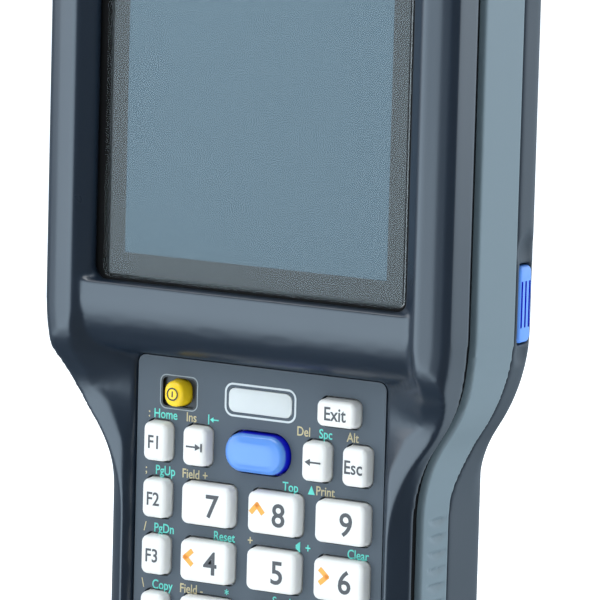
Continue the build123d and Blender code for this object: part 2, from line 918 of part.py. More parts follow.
def make_key(x, z, width, height):
    # drafted cap that stands through the panel, on a flange that keeps it in
    radius = key_round(width, height)
    grow = 2 * key_draft
    base = rounded(width + grow, height + grow, radius + 0.05, x, z)
    face = rounded(width, height, radius - 0.05, x, z)
    cap = loft([Pos(0, at(panel_depth), 0) * base, Pos(0, at(key_face_depth), 0) * face])
    stem = slab(base, panel_depth, flange_front + 0.01)
    flange_width = width + grow + 2 * key_flange
    flange_height = height + grow + 2 * key_flange
    flange = block(flange_width, flange_front, flange_back, z - flange_height / 2,
                   z + flange_height / 2, x)
    return cap + stem + flange


def make_keypad_mat():
    # silicone dome sheet that returns the keys
    height = panel_top - panel_bottom - 2.0
    middle = (panel_top + panel_bottom) / 2
    return block(2 * panel_half - 2.0, mat_depth, mat_depth + mat_thickness,
                 middle - height / 2, middle + height / 2)


def make_keypad_board():
    middle = (panel_top + panel_bottom) / 2
    height = panel_top - panel_bottom - 2.0
    return block(2 * panel_half - 2.0, keypad_board_depth, keypad_board_depth + board_thickness,
                 middle - height / 2, middle + height / 2)


def make_battery_case():
    pack = battery_space() & before_back()
    room = battery_space() & before_back(battery_shell)
    inner = block(
        battery_width - 2 * battery_shell,
        case_depth - battery_thickness + battery_shell,
        case_depth - battery_shell - back_step,
        battery_bottom + battery_shell,
        battery_top - battery_shell,
    )
    pack -= room & inner
    for z in (battery_bottom + 6.0, battery_bottom + 9.0, battery_bottom + 12.0):
        pack -= block(battery_width * 0.4, case_depth - 0.6, case_depth + 1, z - 0.6, z + 0.6)
    return pack


def make_battery_cells():
    # two flat cells side by side inside the pack
    width = (battery_width - 2 * battery_shell - 1.0) / 2 - 0.4
    front = case_depth - battery_thickness + battery_shell + 0.2
    back = case_depth - battery_shell - back_step - 0.2
    cells = []
    for side in (-1, 1):
        cells.append(block(width, front, back, battery_bottom + battery_shell + 0.4,
                           battery_top - battery_shell - 6.0, side * (width / 2 + 0.4)))
    return Compound(children=cells)


def make_battery_contacts():
    # sprung blades under the battery pack that carry its current to the board
    back = case_depth - battery_thickness - battery_gap - battery_shell - 0.1
    contacts = []
    for index in range(battery_contact_count):
        x = (index - (battery_contact_count - 1) / 2) * 3.0
        contacts.append(block(1.2, back - 2.4, back, battery_top - 9.0, battery_top - 5.0, x))
    return Compound(children=contacts)


def make_battery_latch():
    slider = block(latch_width, head_back - latch_thickness, head_back, latch_bottom,
                   latch_bottom + latch_height)
    for index in range(3):
        z = latch_bottom + latch_height / 2 + (index - 1) * 1.5
        slider -= block(latch_width * 0.7, head_back - 0.5, head_back + 1, z - 0.35, z + 0.35)
    return slider


def make_strap_bar():
    place = Pos(0, strap_y, strap_bar_height) * Rot(0, 90, 0)
    bar = place * Cylinder(strap_bar_radius, strap_slot_width - 0.2)
    return bar + place * Cylinder(strap_journal_radius, strap_slot_width + 2 * wall - 1.4)


def make_case_screws():
    screws = []
    for x, z in both_sides(screw_sites):
        seat = screw_seat(z)
        head = slab(rounded_disc(x, z, screw_head_radius), seat + 0.02, seat + screw_head_height)
        socket = Plane.XZ * Pos(x, z) * RegularPolygon(1.0, 6)
        head -= slab(socket, seat + 0.7, seat + 5)
        shank = slab(rounded_disc(x, z, screw_radius), pilot_depth(z) + 0.3, seat + 0.1)
        screws.append(head + shank)
    return Compound(children=screws)


def make_parts():
    parts = {
        "front_cover": make_front_cover(),
        "case_seal": make_case_seal(),
        "mid_frame": make_mid_frame(),
        "rear_cover": make_rear_cover(),
        "case_screws": make_case_screws(),
        "display_glass": make_display_glass(),
        "display_gasket": make_display_gasket(),
        "lcd_module": make_lcd_module(),
        "inner_chassis": make_inner_chassis(),
        "main_board": make_main_board(),
        "shield_can": make_shield_can(),
        "backup_battery": make_backup_battery(),
        "antenna_board": make_antenna_board(),
        "scan_engine": make_scan_engine(),
        "scan_window": make_scan_window(),
        "window_seal": make_window_seal(),
        "speaker": make_speaker(),
        "microphone": make_microphone(),
        "dock_connector": make_dock_connector(),
        "dock_contacts": make_dock_contacts(),
        "keypad_panel": make_keypad_panel(),
        "status_lens": make_status_lens(),
        "keypad_mat": make_keypad_mat(),
        "keypad_board": make_keypad_board(),
        "battery_case": make_battery_case(),
        "battery_cells": make_battery_cells(),
        "battery_contacts": make_battery_contacts(),
        "battery_latch": make_battery_latch(),
        "strap_bar": make_strap_bar(),
        "side_button_left": make_side_button(-1),
        "side_button_right": make_side_button(1),
        "side_switches": make_side_switches(),
    }
    for name, x, z, width, height in key_places():
        parts[name] = make_key(x, z, width, height)
    return parts


os.makedirs("parts", exist_ok=True)
for node, shape in make_parts().items():
    shape.label = node
    export_step(shape, f"parts/{node}.step")
print(f"case {2 * head_half:.2f} x {case_depth:.2f} x {case_length:.2f} mm")
print(f"shoulder turns {degrees(shoulder_turn):.1f} degrees, display bottom at {lcd_bottom:.2f}")
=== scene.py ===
from math import cos, pi, radians, sin

import bmesh
import bpy
from mathutils import Matrix, Vector


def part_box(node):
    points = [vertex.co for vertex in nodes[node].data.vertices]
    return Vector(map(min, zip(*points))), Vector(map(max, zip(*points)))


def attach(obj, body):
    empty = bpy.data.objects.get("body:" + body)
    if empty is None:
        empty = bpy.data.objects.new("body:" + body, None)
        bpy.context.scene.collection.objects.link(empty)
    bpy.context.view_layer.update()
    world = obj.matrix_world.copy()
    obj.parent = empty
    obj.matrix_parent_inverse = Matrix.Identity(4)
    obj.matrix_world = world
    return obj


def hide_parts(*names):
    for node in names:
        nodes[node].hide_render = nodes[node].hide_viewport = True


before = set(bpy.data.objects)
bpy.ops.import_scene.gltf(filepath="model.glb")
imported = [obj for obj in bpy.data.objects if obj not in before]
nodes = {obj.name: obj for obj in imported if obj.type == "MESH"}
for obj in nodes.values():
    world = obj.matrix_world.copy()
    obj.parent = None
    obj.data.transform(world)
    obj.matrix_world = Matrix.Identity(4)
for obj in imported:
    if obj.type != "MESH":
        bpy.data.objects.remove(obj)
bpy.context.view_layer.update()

mm = 0.001

# camera, lights and floor

studio = {
    "azimuth": 31.0, "elevation": 8.36, "roll": 1.52,
    "target": (0.01005, -0.01375, 0.10072), "distance": 1.01745, "lens": 351.84,
    "floor": "#ffffff", "floorGlow": 0.62, "floorRoughness": 0.9, "floorSheen": 0.2, "floorSize": 30.0,
    "backdropRadius": 14.0, "backdropGlow": 1.0, "ambient": "#cbdfed", "dim": 0.1,
}
# broad light walls of the surrounding studio: where each stands, how bright, and how it falls off
lightWalls = {
    "frontLeft": {"way": (-0.53, -0.82, -0.2), "bright": 5.4, "from": 0.85, "to": 0.99},
    "backRight": {"way": (0.5, 0.866, 0.0), "bright": 1.3, "from": 0.6, "to": 0.95},
    "farLeft": {"way": (-1.0, 0.1, 0.0), "bright": 0.45, "from": 0.5, "to": 0.95},
    "above": {"way": (0.0, 0.0, 1.0), "bright": 0.8, "from": 0.2, "to": 0.9},
}
softboxes = {
    "softboxOver": {"place": (-0.25, -0.75, 1.25), "size": (1.1, 0.8), "watts": 11.0, "tint": "#ffffff"},
    "softboxLeft": {"place": (-1.25, -0.75, 0.55), "size": (0.7, 1.0), "watts": 6.0, "tint": "#f4f8ff"},
    "softboxRight": {"place": (1.15, 0.75, 0.6), "size": (0.6, 1.0), "watts": 3.0, "tint": "#ffffff"},
    "softboxSide": {"place": (0.42, 0.6, 0.36), "size": (0.6, 0.72), "watts": 1.0, "tint": "#eef6ff"},
}


def toLinear(colour):
    # sRGB hex to the linear values that a shader takes
    parts = [int(colour[place:place + 2], 16) / 255 for place in (1, 3, 5)]
    return [part / 12.92 if part <= 0.04045 else ((part + 0.055) / 1.055) ** 2.4 for part in parts] + [1.0]


def addNode(tree, kind, values=None, links=None, **settings):
    # one node with its settings, its socket values and what feeds it
    node = tree.nodes.new(kind)
    for name, value in settings.items():
        setattr(node, name, value)
    for name, value in (values or {}).items():
        node.inputs[name].default_value = value
    for name, (source, output) in (links or {}).items():
        tree.links.new(source.outputs[output], node.inputs[name])
    return node


def cameraTurn(azimuth, elevation, roll):
    # columns are the camera's right, up and back
    a, e, r = radians(azimuth), radians(elevation), radians(roll)
    back = Vector((sin(a) * cos(e), -cos(a) * cos(e), sin(e)))
    side = Vector((cos(a), sin(a), 0.0))
    up = back.cross(side)
    right = side * cos(r) + up * sin(r)
    rolled = up * cos(r) - side * sin(r)
    return Matrix((right, rolled, back)).transposed(), back


def makeStudio():
    turn, back = cameraTurn(studio["azimuth"], studio["elevation"], studio["roll"])
    target = Vector(studio["target"])
    bpy.ops.object.camera_add(location=target + back * studio["distance"], rotation=turn.to_euler())
    camera = bpy.context.object
    camera.name = "camera"
    camera.data.lens = studio["lens"]
    camera.data.sensor_width = 36.0
    camera.data.clip_start = 0.05
    camera.data.clip_end = 50.0
    bpy.context.scene.camera = camera
    for name, box in softboxes.items():
        place = Vector(box["place"])
        aim = (target - place).to_track_quat("-Z", "Y").to_euler()
        bpy.ops.object.light_add(type="AREA", location=place, rotation=aim)
        light = bpy.context.object
        light.name = name
        light.data.shape = "RECTANGLE"
        light.data.size, light.data.size_y = box["size"]
        light.data.energy = box["watts"]
        light.data.color = toLinear(box["tint"])[:3]
    world = bpy.data.worlds.new("softDaylight")
    world.use_nodes = True
    # light walls glow in some directions only, so slopes that mirror the rest of the room fall dark
    tree = world.node_tree
    way = addNode(tree, "ShaderNodeTexCoord")
    total = addNode(tree, "ShaderNodeValue")
    total.outputs[0].default_value = studio["dim"]
    for wall in lightWalls.values():
        facing = addNode(tree, "ShaderNodeVectorMath", {1: wall["way"]}, {0: (way, "Generated")},
                         operation="DOT_PRODUCT")
        glow = addNode(tree, "ShaderNodeMapRange",
                       {"From Min": wall["from"], "From Max": wall["to"], "To Max": wall["bright"]},
                       {"Value": (facing, "Value")}, interpolation_type="SMOOTHSTEP")
        total = addNode(tree, "ShaderNodeMath", None, {0: (total, 0), 1: (glow, "Result")}, operation="ADD")
    background = tree.nodes["Background"]
    background.inputs["Color"].default_value = toLinear(studio["ambient"])
    tree.links.new(total.outputs[0], background.inputs["Strength"])
    bpy.context.scene.world = world
    bpy.ops.mesh.primitive_plane_add(size=studio["floorSize"], location=(0, 0, -0.0002))
    floor = bpy.context.object
    floor.name = "floor"
    paper = bpy.data.materials.new("paperFloor")
    paper.use_nodes = True
    shader = paper.node_tree.nodes["Principled BSDF"]
    shader.inputs["Base Color"].default_value = toLinear(studio["floor"])
    shader.inputs["Roughness"].default_value = studio["floorRoughness"]
    shader.inputs["Specular IOR Level"].default_value = studio["floorSheen"]
    shader.inputs["Emission Color"].default_value = (1, 1, 1, 1)
    shader.inputs["Emission Strength"].default_value = studio["floorGlow"]
    floor.data.materials.append(paper)
    floor.visible_glossy = False
    # pale backdrop that only the camera sees, so the light walls keep lighting the object
    bpy.ops.mesh.primitive_uv_sphere_add(radius=studio["backdropRadius"], segments=48, ring_count=24)
    backdrop = bpy.context.object
    backdrop.name = "backdrop"
    for ray in ("diffuse", "glossy", "transmission", "shadow"):
        setattr(backdrop, "visible_" + ray, False)
    backdrop.data.materials.append(paper.copy())
    glow = backdrop.data.materials[0].node_tree.nodes["Principled BSDF"]
    glow.inputs["Emission Strength"].default_value = studio["backdropGlow"]
    bpy.context.scene.view_settings.view_transform = "Standard"


# materials

def startMaterial(name):
    material = bpy.data.materials.new(name)
    material.use_nodes = True
    tree = material.node_tree
    return material, tree, tree.nodes["Principled BSDF"]


def mouldedPlastic(name, spec):
    # injection-moulded plastic: spark-eroded grain, a little unevenness in tone and in gloss
    material, tree, shader = startMaterial(name)
    place = addNode(tree, "ShaderNodeTexCoord")
    cloud = addNode(tree, "ShaderNodeTexNoise", {"Scale": 1 / (spec["cloud"] * mm), "Detail": 3.0},
                    {"Vector": (place, "Object")})
    grain = addNode(tree, "ShaderNodeTexNoise", {"Scale": 1 / (spec["grain"] * mm), "Detail": 2.0},
                    {"Vector": (place, "Object")})
    tone = addNode(tree, "ShaderNodeMix", None, {"Factor": (cloud, "Fac")}, data_type="RGBA")
    tone.inputs[6].default_value = toLinear(spec["dark"])
    tone.inputs[7].default_value = toLinear(spec["light"])
    tree.links.new(tone.outputs[2], shader.inputs["Base Color"])
    gloss = addNode(tree, "ShaderNodeMapRange",
                    {"To Min": spec["roughness"] - 0.05, "To Max": spec["roughness"] + 0.05},
                    {"Value": (cloud, "Fac")})
    tree.links.new(gloss.outputs["Result"], shader.inputs["Roughness"])
    bump = addNode(tree, "ShaderNodeBump", {"Strength": spec["bump"], "Distance": 0.02 * mm},
                   {"Height": (grain, "Fac")})
    tree.links.new(bump.outputs["Normal"], shader.inputs["Normal"])
    shader.inputs["IOR"].default_value = spec.get("ior", 1.5)
    shader.inputs["Coat Weight"].default_value = spec.get("coat", 0.0)
    shader.inputs["Coat Roughness"].default_value = spec.get("coatRoughness", 0.2)
    shader.inputs["Subsurface Weight"].default_value = spec.get("depth", 0.0)
    if spec.get("depth"):
        shader.inputs["Subsurface Scale"].default_value = 1.0 * mm
        shader.inputs["Subsurface Radius"].default_value = (0.6, 0.6, 0.8)
    return material


plastics = {
    # polycarbonate and ABS shell, satin: broad soft highlights over a deep slate blue
    "slateShellPlastic": {"dark": "#1a2430", "light": "#1d2835", "roughness": 0.29, "cloud": 24,
                          "grain": 0.32, "bump": 0.25, "ior": 1.6},
    # lighter moulded band, same grain, reads as blue-grey
    "bandPlastic": {"dark": "#66767e", "light": "#6b7c84", "roughness": 0.42, "cloud": 20, "grain": 0.32,
                    "bump": 0.3},
    # rear shell, a shade rougher than the front
    "rearShellPlastic": {"dark": "#2b3540", "light": "#2f3a45", "roughness": 0.48, "cloud": 20,
                         "grain": 0.4, "bump": 0.45},
    # black EPDM cord and gaskets, dull
    "blackRubber": {"dark": "#0a0b0c", "light": "#0f1012", "roughness": 0.85, "ior": 1.3, "cloud": 6,
                    "grain": 0.25, "bump": 0.4},
    # keypad plate, matt painted grey
    "keypadGrey": {"dark": "#414b54", "light": "#46505a", "roughness": 0.55, "cloud": 15, "grain": 0.25,
                   "bump": 0.35},
    # key caps, double-shot ABS, slightly waxy white
    "whiteKeyPlastic": {"dark": "#dededb", "light": "#e6e6e3", "roughness": 0.34, "cloud": 5, "grain": 0.3,
                        "bump": 0.12, "depth": 0.15},
    "yellowKeyPlastic": {"dark": "#f0c814", "light": "#f8d428", "roughness": 0.36, "cloud": 4,
                         "grain": 0.3, "bump": 0.12, "depth": 0.1},
    "amberKeyPlastic": {"dark": "#eda22c", "light": "#f4ad38", "roughness": 0.36, "cloud": 4, "grain": 0.3,
                        "bump": 0.12},
    "aquaKeyPlastic": {"dark": "#48c9b4", "light": "#55d6c0", "roughness": 0.36, "cloud": 4, "grain": 0.3,
                       "bump": 0.12},
    # print on caps and panel, matt ink
    "greyInk": {"dark": "#4a4c50", "light": "#505357", "roughness": 0.6, "cloud": 3, "grain": 0.2,
                "bump": 0.1},
    "amberInk": {"dark": "#eda648", "light": "#f0ac50", "roughness": 0.6, "cloud": 3, "grain": 0.2,
                 "bump": 0.1},
    "aquaInk": {"dark": "#5fcfc0", "light": "#68d8c8", "roughness": 0.6, "cloud": 3, "grain": 0.2,
                "bump": 0.1},
    "tanInk": {"dark": "#b9ad86", "light": "#c1b58e", "roughness": 0.6, "cloud": 3, "grain": 0.2,
               "bump": 0.1},
    "paleInk": {"dark": "#c3cacd", "light": "#ccd3d5", "roughness": 0.55, "cloud": 3, "grain": 0.2,
                "bump": 0.1},
    # pale grey for the frame round the power well: a painted highlight on the well's lip
    "wellLipHighlight": {"dark": "#8a9499", "light": "#929ca1", "roughness": 0.55, "cloud": 3, "grain": 0.2,
                 "bump": 0.1},
    "blackPlastic": {"dark": "#141518", "light": "#1a1b1f", "roughness": 0.4, "cloud": 6, "grain": 0.3,
                     "bump": 0.2},
    "batteryPlastic": {"dark": "#252d37", "light": "#29323c", "roughness": 0.5, "cloud": 18, "grain": 0.4,
                       "bump": 0.45},
    "latchPlastic": {"dark": "#22262d", "light": "#282d34", "roughness": 0.45, "cloud": 8, "grain": 0.3,
                     "bump": 0.3},
    "siliconeMat": {"dark": "#9ea3a6", "light": "#a7acaf", "roughness": 0.6, "cloud": 8, "grain": 0.3,
                    "bump": 0.2},
    "engineHousing": {"dark": "#1d1f23", "light": "#24262b", "roughness": 0.45, "cloud": 8, "grain": 0.3,
                      "bump": 0.3},
    "cellPouch": {"dark": "#8f9396", "light": "#9ca0a3", "roughness": 0.35, "cloud": 6, "grain": 0.5,
                  "bump": 0.3},
    "solderMask": {"dark": "#0c4a28", "light": "#11562f", "roughness": 0.35, "cloud": 5, "grain": 0.8,
                   "bump": 0.3},
    "frostedLens": {"dark": "#c3c8c8", "light": "#cbd0d0", "roughness": 0.3, "cloud": 6, "grain": 0.3,
                    "bump": 0.1, "depth": 0.3},
}


def brushedMetal(name, colour, roughness, pitch):
    # fine turned or drawn lines, drawn 0.2 mm apart or more so that they show
    material, tree, shader = startMaterial(name)
    place = addNode(tree, "ShaderNodeTexCoord")
    stretch = 14.0
    long = addNode(tree, "ShaderNodeMapping", {"Scale": (1.0, 1.0, stretch)}, {"Vector": (place, "Object")})
    lines = addNode(tree, "ShaderNodeTexNoise", {"Scale": 1 / (pitch * mm) / stretch, "Detail": 4.0},
                    {"Vector": (long, "Vector")})
    tone = addNode(tree, "ShaderNodeMix", None, {"Factor": (lines, "Fac")}, data_type="RGBA")
    base = toLinear(colour)
    tone.inputs[6].default_value = [part * 0.85 for part in base[:3]] + [1.0]
    tone.inputs[7].default_value = base
    tree.links.new(tone.outputs[2], shader.inputs["Base Color"])
    gloss = addNode(tree, "ShaderNodeMapRange", {"To Min": roughness - 0.06, "To Max": roughness + 0.06},
                    {"Value": (lines, "Fac")})
    tree.links.new(gloss.outputs["Result"], shader.inputs["Roughness"])
    bump = addNode(tree, "ShaderNodeBump", {"Strength": 0.3, "Distance": 0.01 * mm},
                   {"Height": (lines, "Fac")})
    tree.links.new(bump.outputs["Normal"], shader.inputs["Normal"])
    shader.inputs["Metallic"].default_value = 1.0
    return material


metals = {
    "blackenedSteel": ("#55585c", 0.35, 0.3),   # oxide-blackened screws, dark satin metal
    "tinnedSteel": ("#b9bcbe", 0.3, 0.4),       # pressed can, pale satin metal
    "castAluminium": ("#a3a6a9", 0.5, 0.5),     # die-cast tray, dull and slightly grainy
    "goldContact": ("#d9b45c", 0.25, 0.25),     # gold flash over nickel, warm and bright
}


def displayPanel(spec):
    # liquid crystal cell, unlit: grey-blue active area with a faint cell grid inside a darker border, the
    # area painted lighter towards its top as a reflection
    material, tree, shader = startMaterial("liquidCrystalPanel")
    place = addNode(tree, "ShaderNodeTexCoord")
    split = addNode(tree, "ShaderNodeSeparateXYZ", None, {"Vector": (place, "Object")})
    across = addNode(tree, "ShaderNodeMath", None, {0: (split, "X")}, operation="ABSOLUTE")
    inX = addNode(tree, "ShaderNodeMath", {1: spec["halfWidth"]}, {0: (across, 0)}, operation="LESS_THAN")
    off = addNode(tree, "ShaderNodeMath", {1: spec["middle"]}, {0: (split, "Z")}, operation="SUBTRACT")
    up = addNode(tree, "ShaderNodeMath", None, {0: (off, 0)}, operation="ABSOLUTE")
    inZ = addNode(tree, "ShaderNodeMath", {1: spec["halfHeight"]}, {0: (up, 0)}, operation="LESS_THAN")
    active = addNode(tree, "ShaderNodeMath", None, {0: (inX, 0), 1: (inZ, 0)}, operation="MULTIPLY")
    # the active area grows lighter towards its top: a painted reflection
    fade = addNode(tree, "ShaderNodeMapRange",
                   {"From Min": spec["middle"] - spec["halfHeight"],
                    "From Max": spec["middle"] + spec["halfHeight"]}, {"Value": (split, "Z")})
    paintedReflection = addNode(tree, "ShaderNodeMix", None, {"Factor": (fade, "Result")}, data_type="RGBA")
    paintedReflection.inputs[6].default_value = toLinear(spec["low"])
    paintedReflection.inputs[7].default_value = toLinear(spec["high"])
    cells = addNode(tree, "ShaderNodeTexWave",
                    {"Scale": 1 / (spec["cell"] * mm) / (2 * pi), "Distortion": 0.0},
                    {"Vector": (place, "Object")}, bands_direction="Z")
    grid = addNode(tree, "ShaderNodeMix", {"Factor": 0.03}, None, data_type="RGBA", blend_type="MULTIPLY")
    tree.links.new(paintedReflection.outputs[2], grid.inputs[6])
    tree.links.new(cells.outputs["Color"], grid.inputs[7])
    tone = addNode(tree, "ShaderNodeMix", None, {"Factor": (active, 0)}, data_type="RGBA")
    tone.inputs[6].default_value = toLinear(spec["border"])
    tree.links.new(grid.outputs[2], tone.inputs[7])
    tree.links.new(tone.outputs[2], shader.inputs["Base Color"])
    shader.inputs["Roughness"].default_value = 0.35
    shader.inputs["IOR"].default_value = 1.5
    return material


def clearPane(name, tint, roughness, ior):
    # clear pane: the touch glass is etched against glare and mirrors softly, the scan window is polished
    material, tree, shader = startMaterial(name)
    place = addNode(tree, "ShaderNodeTexCoord")
    smear = addNode(tree, "ShaderNodeTexNoise", {"Scale": 60.0, "Detail": 2.0},
                    {"Vector": (place, "Object")})
    gloss = addNode(tree, "ShaderNodeMapRange", {"To Min": roughness, "To Max": roughness + 0.02},
                    {"Value": (smear, "Fac")})
    tree.links.new(gloss.outputs["Result"], shader.inputs["Roughness"])
    shader.inputs["Base Color"].default_value = toLinear(tint)
    shader.inputs["Transmission Weight"].default_value = 1.0
    shader.inputs["IOR"].default_value = ior  # an anti-reflection coat lowers it below that of bare glass
    return material


def litAndShadedKey(name, spec):
    # blue cap painted with light and shade by depth: paler on the crown as a painted highlight, deep blue
    # on the flanks as painted shade
    material, tree, shader = startMaterial(name)
    place = addNode(tree, "ShaderNodeTexCoord")
    split = addNode(tree, "ShaderNodeSeparateXYZ", None, {"Vector": (place, "Object")})
    edge = addNode(tree, "ShaderNodeMapRange", {"From Min": spec["from"], "From Max": spec["to"]},
                   {"Value": (split, spec["axis"])})
    tone = addNode(tree, "ShaderNodeMix", None, {"Factor": (edge, "Result")}, data_type="RGBA")
    tone.inputs[6].default_value = toLinear(spec["coat"])
    tone.inputs[7].default_value = toLinear(spec["paintedFlankShade"])
    tree.links.new(tone.outputs[2], shader.inputs["Base Color"])
    grain = addNode(tree, "ShaderNodeTexNoise", {"Scale": 3000.0, "Detail": 2.0},
                    {"Vector": (place, "Object")})
    bump = addNode(tree, "ShaderNodeBump", {"Strength": 0.12, "Distance": 0.02 * mm},
                   {"Height": (grain, "Fac")})
    tree.links.new(bump.outputs["Normal"], shader.inputs["Normal"])
    shader.inputs["Roughness"].default_value = 0.3
    shader.inputs["IOR"].default_value = 1.5
    shader.inputs["Coat Weight"].default_value = 0.3
    shader.inputs["Coat Roughness"].default_value = 0.15
    return material


# modelling helpers

def alone(piece):
    bpy.ops.object.select_all(action="DESELECT")
    piece.select_set(True)
    bpy.context.view_layer.objects.active = piece


def pick(kind, test):
    # in edit mode, selects only what passes the test
    bpy.ops.mesh.select_mode(type=kind)
    bpy.ops.mesh.select_all(action="DESELECT")
    form = bmesh.from_edit_mesh(bpy.context.object.data)
    parts = {"VERT": form.verts, "EDGE": form.edges, "FACE": form.faces}[kind]
    for part in parts:
        if test(part):
            part.select_set(True)
    bmesh.update_edit_mesh(bpy.context.object.data)


def applied(piece, kind, **settings):
    # adds a modifier and applies it at once
    alone(piece)
    modifier = piece.modifiers.new(kind.lower(), kind)
    for name, value in settings.items():
        setattr(modifier, name, value)
    bpy.ops.object.modifier_apply(modifier=modifier.name)


def dress(piece, material, slot, body, *stoodFor):
    # finish and body of a new piece
    if material is not None:
        piece.data.materials.clear()
        piece.data.materials.append(material)
    if stoodFor:
        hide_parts(*stoodFor)
    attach(piece, body)
    return piece


def copyOfNode(name, node):
    # a node's own solid, its loose triangles merged, ready to be worked on
    piece = bpy.data.objects.new(name, nodes[node].data.copy())
    bpy.context.scene.collection.objects.link(piece)
    alone(piece)
    bpy.ops.object.mode_set(mode="EDIT")
    bpy.ops.mesh.select_all(action="SELECT")
    bpy.ops.mesh.remove_doubles(threshold=0.0005 * mm)
    bpy.ops.mesh.customdata_custom_splitnormals_clear()
    bpy.ops.object.mode_set(mode="OBJECT")
    return piece


def softShell(name, node, spec):
    # moulded shell: facets melted together and every edge softened as a mould leaves it
    piece = copyOfNode(name, node)
    applied(piece, "REMESH", mode="VOXEL", voxel_size=spec["voxel"] * mm, use_smooth_shade=True)
    applied(piece, "SMOOTH", factor=0.5, iterations=spec["soften"])
    applied(piece, "DECIMATE", ratio=spec["keep"])
    bpy.ops.object.shade_smooth()
    return piece


def crispCopy(name, node, width, segments=2):
    # turned or moulded small part: its sharp edges are broken and the rest shaded smooth
    piece = copyOfNode(name, node)
    bpy.ops.object.mode_set(mode="EDIT")
    bpy.ops.mesh.select_all(action="SELECT")
    bpy.ops.mesh.dissolve_limited(angle_limit=radians(1.0))
    bpy.ops.object.mode_set(mode="OBJECT")
    applied(piece, "BEVEL", width=width * mm, segments=segments, limit_method="ANGLE",
            angle_limit=radians(50.0), use_clamp_overlap=True)
    bpy.ops.object.shade_smooth_by_angle(angle=radians(35.0))
    return piece


def block(name, low, high):
    # cube at its size and place, with its origin back at zero
    low, high = Vector(low), Vector(high)
    bpy.ops.object.select_all(action="DESELECT")
    bpy.ops.mesh.primitive_cube_add(size=1.0, location=(low + high) / 2, scale=high - low)
    piece = bpy.context.object
    piece.name = name
    piece.data.name = name
    bpy.ops.object.transform_apply(location=True, rotation=True, scale=True)
    return piece


def roundedPrism(name, centre, width, height, front, back, corner, segments=6):
    # upright prism whose front faces -Y, with rounded corners in the front view
    x, z = centre
    low = (x - width / 2, front, z - height / 2)
    high = (x + width / 2, back, z + height / 2)
    piece = block(name, low, high)
    bpy.ops.object.mode_set(mode="EDIT")
    pick("EDGE", lambda e: abs(e.verts[0].co.y - e.verts[1].co.y) > (back - front) / 2)
    bpy.ops.mesh.bevel(offset=corner, segments=segments, affect="EDGES")
    bpy.ops.object.mode_set(mode="OBJECT")
    return piece


def joined(pieces):
    bpy.ops.object.select_all(action="DESELECT")
    for piece in pieces:
        piece.select_set(True)
    bpy.context.view_layer.objects.active = pieces[0]
    bpy.ops.object.join()
    return pieces[0]


# relief is the print's thickness, depth its extrusion in the font's own units, overrun how far a line's end
# runs on as a share of its width
lettering = {"relief": 0.05 * mm, "depth": 0.1, "proud": 0.005 * mm, "overrun": 0.35}


def measureCapital():
    # height of a capital letter in the font's own units
    bpy.ops.object.select_all(action="DESELECT")
    bpy.ops.object.text_add()
    sample = bpy.context.object
    sample.data.body = "H"
    bpy.ops.object.convert(target="MESH")
    height = max(v.co.y for v in sample.data.vertices) - min(v.co.y for v in sample.data.vertices)
    bpy.data.objects.remove(sample)
    return height


def letters(words, capital, x, z, face, ink, squeeze, fatten):
    # printed words whose capitals are a given height, facing -Y, standing a hair proud of the face
    bpy.ops.object.select_all(action="DESELECT")
    bpy.ops.object.text_add()
    piece = bpy.context.object
    piece.data.body = words
    piece.data.align_x = "CENTER"
    piece.data.resolution_u = 4
    piece.data.extrude = lettering["depth"]
    piece.data.offset = fatten
    bpy.ops.object.convert(target="MESH")
    scale = capital / capitalHeight
    piece.data.transform(Matrix.Diagonal((scale * squeeze, scale,
                                          lettering["relief"] / (2 * lettering["depth"]), 1)))
    piece.data.transform(Matrix.Translation((x, face, z - capital / 2)) @ Matrix.Rotation(pi / 2, 4, "X"))
    piece.data.materials.append(ink)
    return piece


def stroke(start, end, width, face, ink):
    # one straight printed stroke between two points of the front view
    (x0, z0), (x1, z1) = start, end
    run = Vector((x1 - x0, 0, z1 - z0))
    piece = block("stroke", (-run.length / 2, -lettering["relief"] / 2, -width / 2),
                  (run.length / 2, lettering["relief"] / 2, width / 2))
    angle = Vector((1, 0)).angle_signed(Vector((run.x, run.z)))
    middle = Matrix.Translation(((x0 + x1) / 2, face, (z0 + z1) / 2))
    piece.data.transform(middle @ Matrix.Rotation(angle, 4, "Y"))
    piece.data.materials.append(ink)
    return piece


def strokes(points, width, face, ink):
    # printed line through several points, its ends run on a little so that the bends close
    made = []
    for start, end in zip(points, points[1:]):
        run = Vector((end[0] - start[0], end[1] - start[1]))
        step = run.normalized() * width * lettering["overrun"]
        made.append(stroke((start[0] - step.x, start[1] - step.y), (end[0] + step.x, end[1] + step.y),
                           width, face, ink))
    return made


def wedge(points, face, ink):
    # printed filled triangle or other convex patch
    bpy.ops.object.select_all(action="DESELECT")
    bpy.ops.mesh.primitive_circle_add(vertices=len(points), radius=1.0, fill_type="NGON")
    piece = bpy.context.object
    for corner, (x, z) in zip(piece.data.vertices, points):
        corner.co = (x, face - lettering["relief"] / 2, z)
    applied(piece, "SOLIDIFY", thickness=lettering["relief"], offset=0.0)
    bpy.ops.object.mode_set(mode="EDIT")
    bpy.ops.mesh.select_all(action="SELECT")
    bpy.ops.mesh.normals_make_consistent(inside=False)
    bpy.ops.object.mode_set(mode="OBJECT")
    piece.data.materials.append(ink)
    return piece


def printedRing(centre, width, height, corner, line, face, ink):
    # thin outline, a rounded frame of even width: printed round the status lens, and round the power well a
    # painted highlight on its lip
    piece = roundedPrism("ring", centre, width, height, face - lettering["relief"],
                         face + lettering["relief"], corner, 8)
    bpy.ops.object.mode_set(mode="EDIT")
    pick("FACE", lambda f: abs(f.normal.y) > 0.9)
    bpy.ops.mesh.inset(thickness=line, depth=0.0)
    bpy.ops.mesh.bridge_edge_loops()
    bpy.ops.object.mode_set(mode="OBJECT")
    piece.data.materials.append(ink)
    return piece


# the studio is set up and the finishes are made

